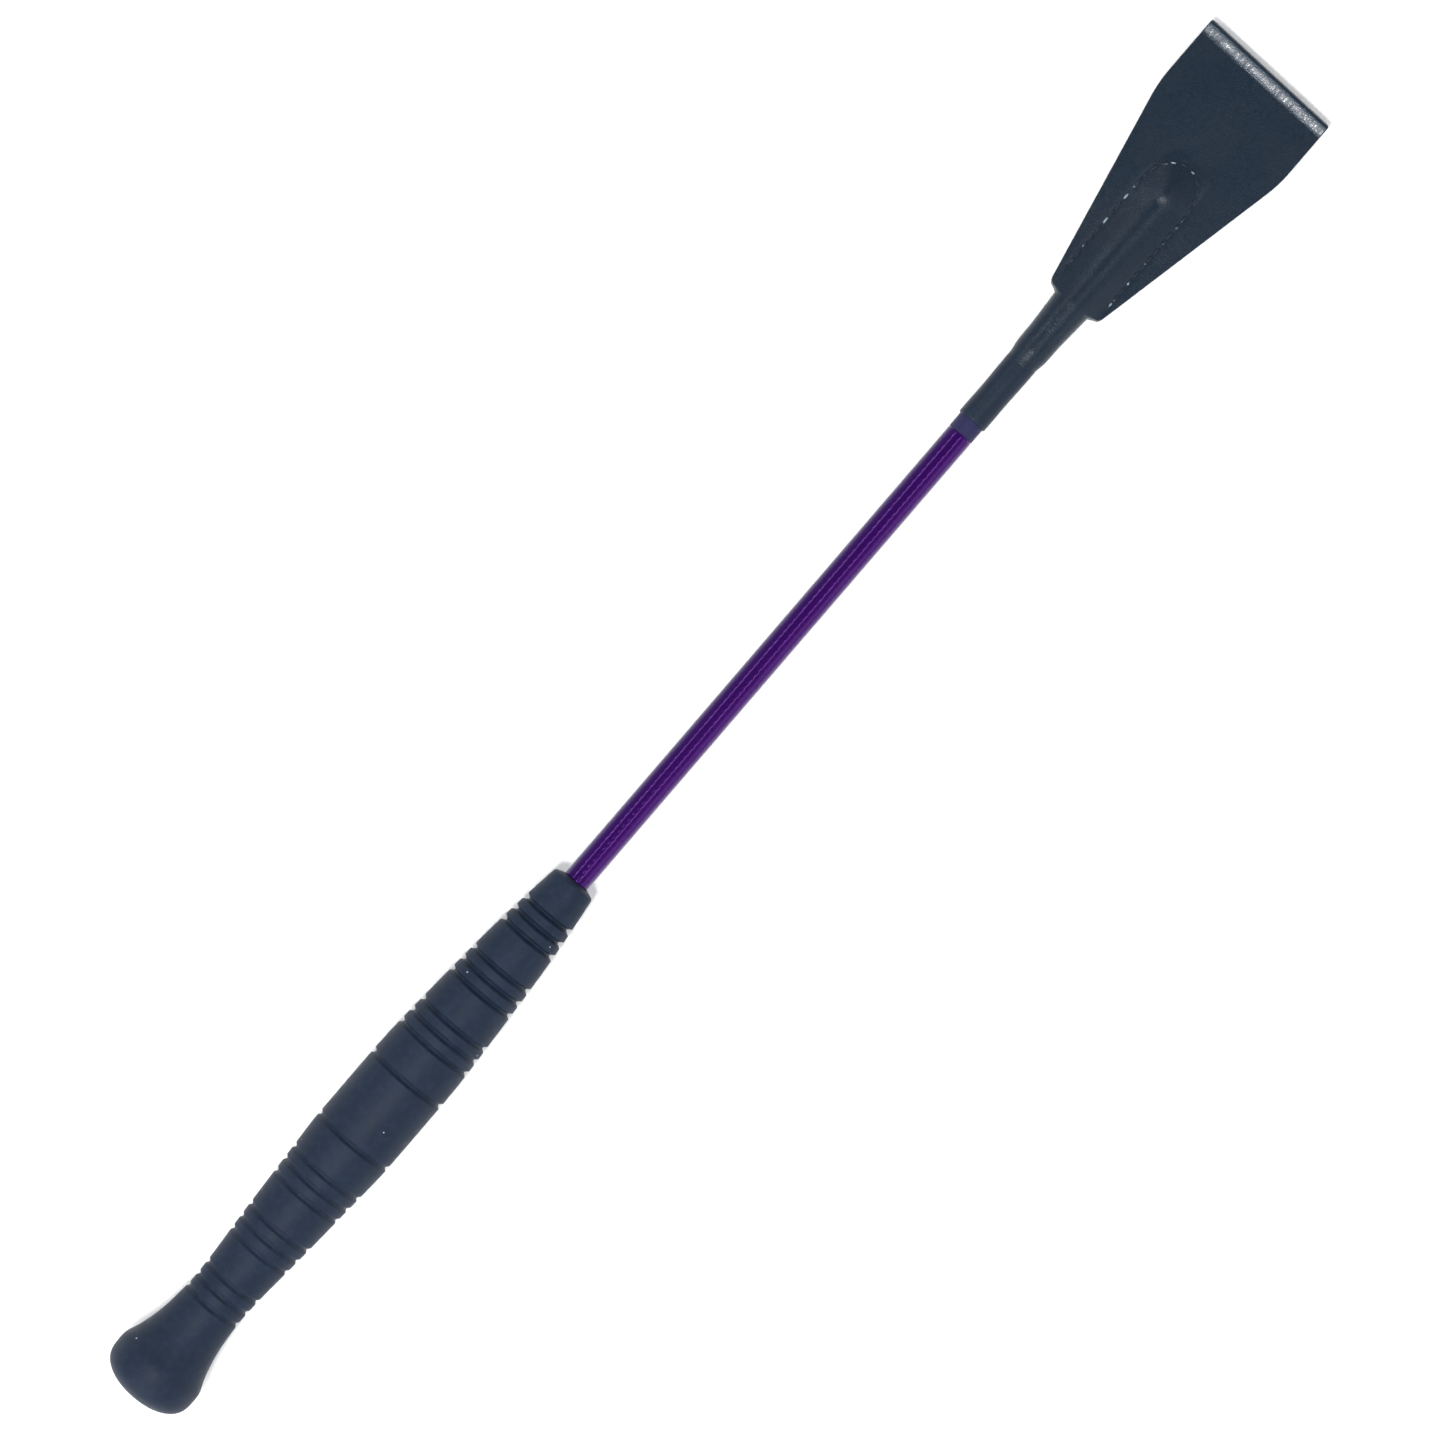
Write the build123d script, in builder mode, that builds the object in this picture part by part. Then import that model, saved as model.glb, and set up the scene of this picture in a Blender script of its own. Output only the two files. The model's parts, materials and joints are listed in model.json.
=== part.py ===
from build123d import *
import os
from math import atan2, ceil, cos, degrees, hypot, pi, sin

# Riding crop: a rubber-grip jumping bat lying on a level surface. Millimetres.
# A station is a distance along the crop's own straight axis, from the butt (0) to the flapper's tip.
# World +X runs from butt to tip, +Y across the flapper, +Z up. The origin is on the surface, under the middle.

# ---------------------------------------------------------------- lengths along the crop
grip_length = 194.0        # butt to the grip's mouth
shaft_exposed = 173.6      # grip's mouth to the edge of the neck leather
neck_length = 43.9         # edge of the neck leather to the flapper's root
flapper_length = 88.5      # flapper's root to its folded tip

# ---------------------------------------------------------------- rubber grip
butt_radius = 14.0         # rim of the mushroom butt
rim_station = 9.4          # where the rim is widest
waist_radius = 9.2         # thinnest place, behind the butt
waist_station = 37.0
belly_radius = 12.7        # plain cylindrical band in the middle
mouth_radius = 7.0
mouth_lip = 1.6            # length of the rounded lip at the mouth
rubber_wall = 3.0          # rubber over the handle core
butt_wall = 4.5            # rubber over the end of the handle core
core_end_gap = 17.0        # handle core's end to the grip's mouth
core_round = 2.5           # rounding of the handle core's butt end

band_centre = 108.1        # middle of the plain band
band_half = 11.75          # from there to the single groove on each side
contact_past_band = 4.0    # where the lying grip touches the surface, past that band
first_group = 28.0         # middle of the band to the nearest group of three grooves
group_pitch = 20.6         # from one group to the next
groups_each_side = 3
groove_pitch = 4.35        # grooves within a group
groove_radius = 0.7        # round bottom of a groove
groove_depth_butt = 0.45   # grooves are shallow towards the butt
groove_depth_mouth = 1.4   # and deep towards the mouth

# ---------------------------------------------------------------- rod and braid
rod_radius_butt = 3.3
rod_radius_tip = 2.6
rod_past_root = 40.5       # the rod's end, past the flapper's root
braid_radius = 4.05
braid_in_grip = 12.0       # braid hidden inside the grip's mouth
braid_past_root = 7.0      # braid's end, past the flapper's root
knuckle_gap = 0.2          # air between the two halves of the shaft, at the flex joint

# ---------------------------------------------------------------- thread whippings
whipping_thread = 0.35     # thickness of the wound thread, which presses into the braid
mouth_whipping_length = 9.0
mouth_whipping_draw = 0.2  # the thread inside the grip's mouth draws the braid in by this much
tip_whipping_length = 9.4
tip_whipping_shown = 5.0   # the stretch left bare beside the neck leather

# ---------------------------------------------------------------- leather
neck_leather = 0.6         # thickness of the neck wrap
neck_joint_gap = 0.2       # its two edges nearly meet on the underside
collar_length = 20.5       # the flapper's tabs, wrapped round the neck
collar_edge = 0.6          # tabs are pared thin at their free edge
collar_round = 9.0         # length of the tabs that stays at that thickness
root_radius = 6.1          # collar where it meets the flapper
leaf = 2.2                 # thickness of one flapper leaf
ridge_wall = 1.9           # leather over the rod's cap, at the ridge's far end
ridge_nose = 5.0           # the ridge's rounded end, past the cap
root_half_width = 8.9
root_corner = 3.0
shoulder_past_root = 64.7  # where the flapper stops widening
shoulder_soften = 40.0     # radius of that bend in the outline
tip_half_width = 22.7
tip_corner = 1.2
fold_half = 2.65           # half the thickness of the fold at the tip
fold_length = 6.0          # length of the swelling where the leather turns back
leaf_slit = 0.2            # the loose leaves lie this far apart
fold_eye = 0.6             # radius of the hollow inside the fold

# ---------------------------------------------------------------- flapper's bend
hinge_past_seam = 5.0      # the leather bends this far past the end of the seam
hinge_gap = 0.25

# ---------------------------------------------------------------- seam
seam_start = 5.2           # first hole, past the root
seam_half = 8.4            # seam legs from the axis
seam_past_cap = 8.9        # the arch's top, past the rod's cap
seam_arch = 11.0           # the arch's rise beyond the legs
stitch_pitch = 3.0
thread_radius = 0.4
thread_height = 0.45       # how proud the thread lies on the leather

# ---------------------------------------------------------------- rod's tip cap
cap_wall = 0.8
cap_length = 8.5
cap_end = 2.0              # soft plastic beyond the rod's end

# ================================================================ stations that follow from the sizes above
neck_station = grip_length + shaft_exposed
root_station = neck_station + neck_length
tip_station = root_station + flapper_length
rod_start = butt_wall
rod_end = root_station + rod_past_root
core_station = grip_length - core_end_gap
flex_station = (grip_length + neck_station) / 2
cap_station = rod_end + cap_end
seam_end = cap_station + seam_past_cap
seam_turn = seam_end - seam_arch
hinge_station = seam_end + hinge_past_seam
collar_station = root_station - collar_length
braid_end = root_station + braid_past_root
bound_mouth = grip_length - mouth_whipping_length
bound_mouth_radius = braid_radius - mouth_whipping_draw
bound_tip = neck_station - tip_whipping_shown
bound_tip_end = bound_tip + tip_whipping_length
cap_radius = rod_radius_tip + cap_wall
neck_radius = braid_radius + neck_leather
collar_radius = neck_radius + collar_edge
ridge_radius = cap_radius + ridge_wall
fold_centre = tip_station - fold_length / 2


def rod_radius(station):
    """Radius of the tapered rod at a station."""
    share = (station - rod_start) / (rod_end - rod_start)
    return rod_radius_butt + (rod_radius_tip - rod_radius_butt) * share


def between(start, end, share):
    """Value that lies a given share of the way from start to end."""
    return start + (end - start) * share


def grip_outline(inset):
    """Edges of the grip's outer line from its rim to its mouth, moved in by inset."""
    belly_start = band_centre - band_half
    belly_end = band_centre + band_half
    lip_station = grip_length - mouth_lip
    waist = waist_radius - inset
    belly = belly_radius - inset
    rim = butt_radius - inset
    mouth = mouth_radius - inset
    Spline(
        (rim_station, rim),
        (between(rim_station, waist_station, 0.16), between(rim, waist, 0.17)),
        (between(rim_station, waist_station, 0.42), between(rim, waist, 0.61)),
        (between(rim_station, waist_station, 0.72), between(rim, waist, 0.89)),
        (waist_station, waist),
        tangents=[(1, 0), (1, 0)],
    )
    Spline(
        (waist_station, waist),
        (between(waist_station, belly_start, 0.3), between(waist, belly, 0.3)),
        (between(waist_station, belly_start, 0.65), between(waist, belly, 0.71)),
        (belly_start, belly),
        tangents=[(1, 0), (1, 0)],
    )
    Line((belly_start, belly), (belly_end, belly))
    Spline(
        (belly_end, belly),
        (between(belly_end, lip_station, 0.3), between(belly, mouth, 0.17)),
        (between(belly_end, lip_station, 0.72), between(belly, mouth, 0.57)),
        (lip_station, mouth),
        tangents=[(1, 0), (1, -0.14)],
    )


def outline_radius(station):
    """Radius of the plain grip at a station, read off its outline by halving."""
    with BuildLine() as outline:
        grip_outline(0)
    wire = outline.wire()
    low, high = 0.0, 1.0
    for _ in range(30):
        middle = (low + high) / 2
        if (wire @ middle).X < station:
            low = middle
        else:
            high = middle
    return (wire @ low).Y


def groove_stations():
    """Stations of all ring grooves: single ones beside the plain band, then groups of three."""
    offsets = [band_half]
    for group in range(groups_each_side):
        middle = first_group + group * group_pitch
        offsets += [middle - groove_pitch, middle, middle + groove_pitch]
    return sorted(band_centre + side * offset for side in (-1, 1) for offset in offsets)


def seam_points():
    """Needle holes along the U seam, evenly spaced, in plan coordinates."""
    legs = root_station + seam_start
    fine = [(legs, seam_half), (seam_turn, seam_half)]
    steps = 60
    for step in range(1, steps):
        angle = pi * step / steps
        fine.append((seam_turn + seam_arch * sin(angle), seam_half * cos(angle)))
    fine += [(seam_turn, -seam_half), (legs, -seam_half)]
    lengths = [hypot(b[0] - a[0], b[1] - a[1]) for a, b in zip(fine, fine[1:])]
    count = ceil(sum(lengths) / stitch_pitch)
    points = []
    for hole in range(count + 1):
        left = sum(lengths) * hole / count
        for (a, b), length in zip(zip(fine, fine[1:]), lengths):
            if left <= length + 1e-9:
                points.append((between(a[0], b[0], left / length), between(a[1], b[1], left / length)))
                break
            left -= length
    return points


def stretch(start, end, inner, outer, mode=Mode.ADD):
    """Half section of a plain tube between two stations."""
    Polygon((start, inner), (end, inner), (end, outer), (start, outer), align=None, mode=mode)


def rod_section(start, end, mode=Mode.ADD):
    """Half section of the tapered rod between two stations."""
    Polygon((start, 0), (end, 0), (end, rod_radius(end)), (start, rod_radius(start)), align=None, mode=mode)


def flapper_outline(start, end):
    """Plan of the flapper, cut off between two stations."""
    shoulder_station = root_station + shoulder_past_root
    with BuildSketch() as outline:
        with BuildLine():
            Polyline(
                (root_station, 0),
                (root_station, root_half_width),
                (shoulder_station, tip_half_width),
                (tip_station, tip_half_width),
                (tip_station, 0),
            )
            mirror(about=Plane.XZ)
        make_face()
        for station, radius in (
            (root_station, root_corner),
            (shoulder_station, shoulder_soften),
            (tip_station, tip_corner),
        ):
            near = [v for v in outline.vertices() if abs(v.X - station) < 0.01 and abs(v.Y) > 1]
            fillet(near, radius)
        with Locations(((start + end) / 2, 0)):
            Rectangle(end - start, 4 * tip_half_width, mode=Mode.INTERSECT)
    return outline.sketch


# The crop lies on its belly, just past the plain band, and on the flapper's ridge over the rod's cap.
belly_contact = band_centre + band_half + contact_past_band
contact_radius = outline_radius(belly_contact)
lean = atan2(contact_radius - ridge_radius, cap_station - belly_contact)
axis_height = belly_contact * sin(lean) + contact_radius * cos(lean)
butt = Vector(-tip_station / 2 * cos(lean), 0, axis_height)
along = Vector(cos(lean), 0, -sin(lean))
plan = Plane(origin=butt, x_dir=along, z_dir=(sin(lean), 0, cos(lean)))
profile = Plane(origin=butt, x_dir=along, z_dir=(0, -1, 0))
crop_axis = Axis(butt, along)
flex_point = plan.from_local_coords(Vector(flex_station, 0, 0))

os.makedirs("parts", exist_ok=True)

# ================================================================ shaft: rod and braid
# The real rod and braid each run through in one piece. They are cut at the flex joint, where a round nose on
# the outer half turns in a hollow seat in the handle's half.

with BuildPart() as rod_lower:
    with BuildSketch(profile):
        rod_section(rod_start, flex_station)
    revolve(axis=crop_axis)
    with Locations(flex_point):
        Sphere(braid_radius + knuckle_gap, mode=Mode.SUBTRACT)
rod_lower.part.label = "rod_lower"
export_step(rod_lower.part, "parts/rod_lower.step")

with BuildPart() as rod_upper:
    with BuildSketch(profile):
        with Locations((flex_station, 0)):
            Circle(braid_radius)
        rod_section(flex_station - 2 * braid_radius, flex_station, mode=Mode.INTERSECT)
        rod_section(flex_station, rod_end)
    revolve(axis=crop_axis)
rod_upper.part.label = "rod_upper"
export_step(rod_upper.part, "parts/rod_upper.step")

with BuildPart() as braid_lower:
    braid_start = grip_length - braid_in_grip
    with BuildSketch(profile):
        stretch(braid_start, flex_station, 0, braid_radius)
        stretch(bound_mouth, grip_length, bound_mouth_radius - whipping_thread, braid_radius, Mode.SUBTRACT)
    revolve(axis=crop_axis)
    add(rod_lower.part, mode=Mode.SUBTRACT)
    with Locations(flex_point):
        Sphere(braid_radius + knuckle_gap, mode=Mode.SUBTRACT)
braid_lower.part.label = "braid_lower"
export_step(braid_lower.part, "parts/braid_lower.step")

with BuildPart() as braid_upper:
    with BuildSketch(profile):
        with Locations((flex_station, 0)):
            Circle(braid_radius)
        stretch(flex_station - 2 * braid_radius, flex_station, 0, braid_radius, Mode.INTERSECT)
        stretch(flex_station, braid_end, 0, braid_radius)
        stretch(bound_tip, bound_tip_end, braid_radius - whipping_thread, braid_radius, Mode.SUBTRACT)
    revolve(axis=crop_axis)
    add(rod_upper.part, mode=Mode.SUBTRACT)
braid_upper.part.label = "braid_upper"
export_step(braid_upper.part, "parts/braid_upper.step")

# ================================================================ thread whippings

with BuildPart() as mouth_whipping:
    with BuildSketch(profile):
        stretch(bound_mouth, grip_length, bound_mouth_radius - whipping_thread, bound_mouth_radius)
    revolve(axis=crop_axis)
mouth_whipping.part.label = "mouth_whipping"
export_step(mouth_whipping.part, "parts/mouth_whipping.step")

with BuildPart() as tip_whipping:
    with BuildSketch(profile):
        stretch(bound_tip, bound_tip_end, braid_radius - whipping_thread, braid_radius)
    revolve(axis=crop_axis)
tip_whipping.part.label = "tip_whipping"
export_step(tip_whipping.part, "parts/tip_whipping.step")

# ================================================================ handle

with BuildPart() as handle_core:
    with BuildSketch(profile):
        with BuildLine():
            rim = butt_radius - rubber_wall
            Line((rod_start, 0), (rod_start, rim - core_round))
            Spline((rod_start, rim - core_round), (rim_station, rim), tangents=[(0, 1), (1, 0)])
            grip_outline(rubber_wall)
            lip_station = grip_length - mouth_lip
            Polyline((lip_station, mouth_radius - rubber_wall), (lip_station, 0), (rod_start, 0))
        make_face()
        stretch(rod_start, core_station, 0, 2 * butt_radius, Mode.INTERSECT)
    revolve(axis=crop_axis)
    add(rod_lower.part, mode=Mode.SUBTRACT)
handle_core.part.label = "handle_core"
export_step(handle_core.part, "parts/handle_core.step")

with BuildPart() as grip:
    with BuildSketch(profile):
        with BuildLine():
            Spline(
                (0, 0),
                (0.18 * rim_station, 0.68 * butt_radius),
                (0.55 * rim_station, 0.95 * butt_radius),
                (rim_station, butt_radius),
                tangents=[(0, 1), (1, 0)],
            )
            grip_outline(0)
            Spline(
                (grip_length - mouth_lip, mouth_radius),
                (grip_length - 0.4 * mouth_lip, between(mouth_radius, braid_radius, 0.42)),
                (grip_length, braid_radius),
                tangents=[(1, -0.14), (0.3, -1)],
            )
            Polyline((grip_length, braid_radius), (grip_length, 0), (0, 0))
        make_face()
        grooves = groove_stations()
        for station in grooves:
            share = (station - grooves[0]) / (grooves[-1] - grooves[0])
            depth = between(groove_depth_butt, groove_depth_mouth, share**2)
            centre = outline_radius(station) - depth + groove_radius
            with Locations((station, centre + groove_radius)):
                SlotCenterToCenter(2 * groove_radius, 2 * groove_radius, rotation=90, mode=Mode.SUBTRACT)
    revolve(axis=crop_axis)
    for inner in (handle_core, rod_lower, braid_lower, mouth_whipping):
        add(inner.part, mode=Mode.SUBTRACT)
grip.part.label = "grip"
export_step(grip.part, "parts/grip.step")

# ================================================================ neck and flapper

with BuildPart() as neck_wrap:
    with BuildSketch(profile):
        stretch(neck_station, braid_end, braid_radius, neck_radius)
    revolve(axis=crop_axis)
    with BuildSketch(plan):
        with Locations(((neck_station + braid_end) / 2, 0)):
            Rectangle(2 * (braid_end - neck_station), neck_joint_gap)
    extrude(amount=-2 * neck_radius, mode=Mode.SUBTRACT)
neck_wrap.part.label = "neck_wrap"
export_step(neck_wrap.part, "parts/neck_wrap.step")

with BuildPart() as rod_tip_cap:
    with BuildSketch(profile):
        stretch(cap_station - cap_length, cap_station, 0, cap_radius)
        fillet(vertices().sort_by(Axis.X).group_by(Axis.X)[-1].sort_by(Axis.Y)[-1], cap_end)
    revolve(axis=crop_axis)
    add(rod_upper.part, mode=Mode.SUBTRACT)
rod_tip_cap.part.label = "rod_tip_cap"
export_step(rod_tip_cap.part, "parts/rod_tip_cap.step")

for name, side in (("flapper_leaf_front", Keep.TOP), ("flapper_leaf_back", Keep.BOTTOM)):
    with BuildPart() as flapper_leaf:
        with BuildSketch(plan):
            add(flapper_outline(root_station, hinge_station - leaf - hinge_gap))
        extrude(amount=leaf, both=True)
        with BuildSketch(profile):
            with BuildLine():
                Polyline(
                    (cap_station + ridge_nose, 0),
                    (collar_station, 0),
                    (collar_station, collar_radius),
                    (collar_station + collar_round, collar_radius),
                    (root_station, root_radius),
                    (cap_station, ridge_radius),
                )
                Spline(
                    (cap_station, ridge_radius),
                    (cap_station + 0.75 * ridge_nose, 0.66 * ridge_radius),
                    (cap_station + ridge_nose, 0),
                    tangents=[(1, 0), (0, -1)],
                )
            make_face()
        revolve(axis=crop_axis)
        with BuildSketch(profile):
            stretch(collar_station, braid_end, 0, neck_radius)
            rod_section(braid_end, rod_end)
        revolve(axis=crop_axis, mode=Mode.SUBTRACT)
        add(rod_tip_cap.part, mode=Mode.SUBTRACT)
        with BuildSketch(plan):
            with Locations(*seam_points()):
                Circle(thread_radius)
        extrude(amount=leaf, both=True, mode=Mode.SUBTRACT)
        split(bisect_by=plan, keep=side)
    flapper_leaf.part.label = name
    export_step(flapper_leaf.part, f"parts/{name}.step")

with BuildPart() as flapper_tongue:
    with BuildSketch(profile):
        with BuildLine():
            fold_start = tip_station - fold_length
            Line((hinge_station, leaf), (fold_start, leaf))
            Spline(
                (fold_start, leaf),
                (fold_centre, fold_half),
                (tip_station, 0),
                tangents=[(1, 0), (0, -1)],
            )
            mirror(about=Plane.XZ)
            ThreePointArc((hinge_station, -leaf), (hinge_station - leaf, 0), (hinge_station, leaf))
        make_face()
        with Locations(((hinge_station - leaf + fold_centre) / 2, 0)):
            Rectangle(fold_centre - hinge_station + leaf, leaf_slit, mode=Mode.SUBTRACT)
        with Locations((fold_centre, 0)):
            Circle(fold_eye, mode=Mode.SUBTRACT)
    extrude(amount=2 * tip_half_width, both=True)
    with BuildSketch(plan):
        add(flapper_outline(hinge_station - leaf, tip_station))
    extrude(amount=2 * fold_half, both=True, mode=Mode.INTERSECT)
flapper_tongue.part.label = "flapper_tongue"
export_step(flapper_tongue.part, "parts/flapper_tongue.step")

with BuildPart() as seam_thread:
    holes = seam_points()
    with BuildSketch(plan):
        with Locations(*holes):
            Circle(thread_radius)
    extrude(amount=leaf, both=True)
    for face_height, rise in ((leaf, thread_height), (-leaf, -thread_height)):
        with BuildSketch(plan.offset(face_height)):
            for (x0, y0), (x1, y1) in zip(holes, holes[1:]):
                with Locations(((x0 + x1) / 2, (y0 + y1) / 2)):
                    angle = degrees(atan2(y1 - y0, x1 - x0))
                    SlotCenterToCenter(hypot(x1 - x0, y1 - y0), 2 * thread_radius, rotation=angle)
        extrude(amount=rise)
seam_thread.part.label = "seam_thread"
export_step(seam_thread.part, "parts/seam_thread.step")
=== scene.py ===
import json
import math

import bpy
import numpy as np
from mathutils import Matrix, Vector


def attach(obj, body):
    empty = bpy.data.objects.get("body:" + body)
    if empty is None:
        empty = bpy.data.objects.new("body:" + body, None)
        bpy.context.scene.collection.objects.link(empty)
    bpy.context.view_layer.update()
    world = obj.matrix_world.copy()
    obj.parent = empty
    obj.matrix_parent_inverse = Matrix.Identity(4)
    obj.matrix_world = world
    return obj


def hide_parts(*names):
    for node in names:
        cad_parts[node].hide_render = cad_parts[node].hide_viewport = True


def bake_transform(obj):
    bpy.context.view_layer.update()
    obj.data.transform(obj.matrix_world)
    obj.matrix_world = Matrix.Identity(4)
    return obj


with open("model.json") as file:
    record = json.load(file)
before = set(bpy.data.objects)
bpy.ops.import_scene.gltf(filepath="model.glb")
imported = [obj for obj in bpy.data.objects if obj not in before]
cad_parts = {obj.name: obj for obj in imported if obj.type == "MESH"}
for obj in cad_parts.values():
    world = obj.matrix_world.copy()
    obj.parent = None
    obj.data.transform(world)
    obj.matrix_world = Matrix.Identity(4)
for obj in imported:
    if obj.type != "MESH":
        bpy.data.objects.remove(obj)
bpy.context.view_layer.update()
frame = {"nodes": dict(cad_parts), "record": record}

# %% [markdown]
# # A riding crop, dressed in Blender
# The crop has a moulded rubber grip, a braided and lacquered shaft, and a folded leather flapper.
# The CAD model already says where each piece is and how it moves. Here each piece gets the surface
# that a hand and an eye would meet: rounded groove lips, woven thread, leather grain, stitches.
#
# A *station* is a distance in millimetres along the crop's own straight axis, from the butt to the
# tip. Every shape below is first worked out as (station, across, up) in millimetres and then laid
# onto the CAD's axis in one step. That keeps the numbers the same as a maker's tape would give.

# %% The crop's own line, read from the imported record
record = frame["record"]
grip_mount = next(m for m in record["mounts"] if m["name"] == "grip")
BAND_MIDDLE = 108.1  # station of the middle of the grip's plain band, where its mount sits
MM = 0.001

along = np.array(grip_mount["axis"], float)
across = np.array([0.0, 1.0, 0.0])
upward = np.cross(along, across)
butt_point = np.array(grip_mount["pos_m"], float) - BAND_MIDDLE * MM * along


def lay(points):
    """Crop coordinates to the shared frame: butt + station*along + across*Y + up*normal, mm to metres."""
    s, y, h = np.moveaxis(np.asarray(points, float) * MM, -1, 0)
    return butt_point + s[..., None] * along + y[..., None] * across + h[..., None] * upward


print("the axis leans by", round(math.degrees(math.asin(-along[2])), 3), "degrees")

# %% Sizes, in millimetres along the crop
GRIP_END = 194.0        # the grip's mouth
NECK_START = 367.6      # edge of the neck leather
BOUND_START = 362.6     # the purple braid stops here and the dark whipping starts
COLLAR_START = 391.0    # the flapper's tabs start here, wrapped round the neck
ROOT = 411.5            # the flapper's root
BRAID_START, BRAID_END = 182.0, 418.5
ROD_START, ROD_END = 4.5, 452.0
CORE_END = 177.0
TIP = 500.0
BRAID_RADIUS = 4.05
NECK_RADIUS = 4.65

# %% [markdown]
# ## From a formula to a mesh
# A surface is a grid: rings of points, one after another, each ring closed on itself. Numpy works
# out all points at once, and a mesh only needs to know which four neighbours make a face. The same
# small function can then skin a grip, a braid or a stitch. The alternative, adding primitives and
# pushing their vertices about, hides the shape in a list of edits.
#
# The ends are closed in one of three ways: a *fan* to one middle point for round things, a *zip*
# from one half of the ring to the other for flat things, or *joined*, where the last ring meets the
# first, as in a sleeve with an outside and an inside.

# %% Skinning rings of points


def skin(name, rings, ends="fan", uv=None):
    """Mesh object from rings (n, m, 3) in crop coordinates. Face (i, j) joins points (i, j), (i, j+1),
    (i+1, j+1) and (i+1, j), with j taken round the ring; ends is "fan", "zip" or "joined"."""
    n, m = rings.shape[:2]
    points = rings.reshape(-1, 3)
    rows = np.arange(n if ends == "joined" else n - 1)
    i, j = np.meshgrid(rows, np.arange(m), indexing="ij")
    i2, j2 = (i + 1) % n, (j + 1) % m
    faces = np.stack([i * m + j, i * m + j2, i2 * m + j2, i2 * m + j], -1).reshape(-1, 4).tolist()
    corner_uv = None
    if uv is not None:
        u, v = uv
        corner_uv = np.stack([
            np.stack([u[i], u[i], u[i2], u[i2]], -1),
            np.stack([v[j], v[j] + v[1] - v[0], v[j] + v[1] - v[0], v[j]], -1),
        ], -1).reshape(-1, 2)
    ring = np.arange(m)
    if ends == "fan":
        points = np.vstack([points, rings[0].mean(0), rings[-1].mean(0)])
        faces += np.stack([ring, np.full(m, n * m), (ring + 1) % m], -1).tolist()
        last = (n - 1) * m
        faces += np.stack([last + ring, last + (ring + 1) % m, np.full(m, n * m + 1)], -1).tolist()
    if ends == "zip":
        k = np.arange(m // 2 - 1)
        faces += np.stack([k, m - 1 - k, m - 2 - k, k + 1], -1).tolist()
        last = (n - 1) * m
        faces += (last + np.stack([k, k + 1, m - 2 - k, m - 1 - k], -1)).tolist()
    return put_mesh(name, points, faces, corner_uv)


def put_mesh(name, points, faces, corner_uv=None):
    """Smooth-shaded mesh object at the origin, its place in its vertices, faces turned outwards."""
    mesh = bpy.data.meshes.new(name)
    mesh.from_pydata(lay(points).tolist(), [], faces)
    mesh.polygons.foreach_set("use_smooth", np.ones(len(mesh.polygons), bool))
    if corner_uv is not None:
        layer = mesh.uv_layers.new(name="tape")
        flat = np.zeros((len(mesh.loops), 2), np.float32)
        flat[: len(corner_uv)] = corner_uv
        layer.data.foreach_set("uv", flat.ravel())
    mesh.validate()
    mesh.update()
    piece = bpy.data.objects.new(name, mesh)
    bpy.context.scene.collection.objects.link(piece)
    volume = signed_volume(mesh)
    if volume < 0:
        mesh.flip_normals()
    triangles = sum(len(p.vertices) - 2 for p in mesh.polygons)
    print(f"{name}: {len(mesh.vertices)} points, {triangles} triangles, {abs(volume) * 1e9:.0f} mm3")
    return piece


def signed_volume(mesh):
    """Sum over the mesh's triangles of a . (b x c) / 6, which is negative if the faces point inwards."""
    mesh.calc_loop_triangles()
    corners = np.zeros(len(mesh.loop_triangles) * 3, np.int32)
    mesh.loop_triangles.foreach_get("vertices", corners)
    co = np.zeros(len(mesh.vertices) * 3)
    mesh.vertices.foreach_get("co", co)
    a, b, c = np.moveaxis(co.reshape(-1, 3)[corners.reshape(-1, 3)], 1, 0)
    return float(np.einsum("ij,ij->i", a, np.cross(b, c)).sum() / 6)


def turn(line, columns, relief=None):
    """Rings of a turned shape: a line of (station, radius) points carried round the axis. relief adds
    to the radius, given as an array for each station and angle."""
    angle = np.linspace(0, 2 * np.pi, columns, endpoint=False)
    station, radius = line[:, :1], line[:, 1:2] * np.ones(columns)
    if relief is not None:
        radius = radius + relief
    station = station * np.ones(columns)
    return np.stack([station, radius * np.cos(angle), radius * np.sin(angle)], -1)


def ease(x):
    """0 below 0, 1 above 1, and 3x^2 - 2x^3 between."""
    x = np.clip(x, 0, 1)
    return x * x * (3 - 2 * x)


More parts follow.
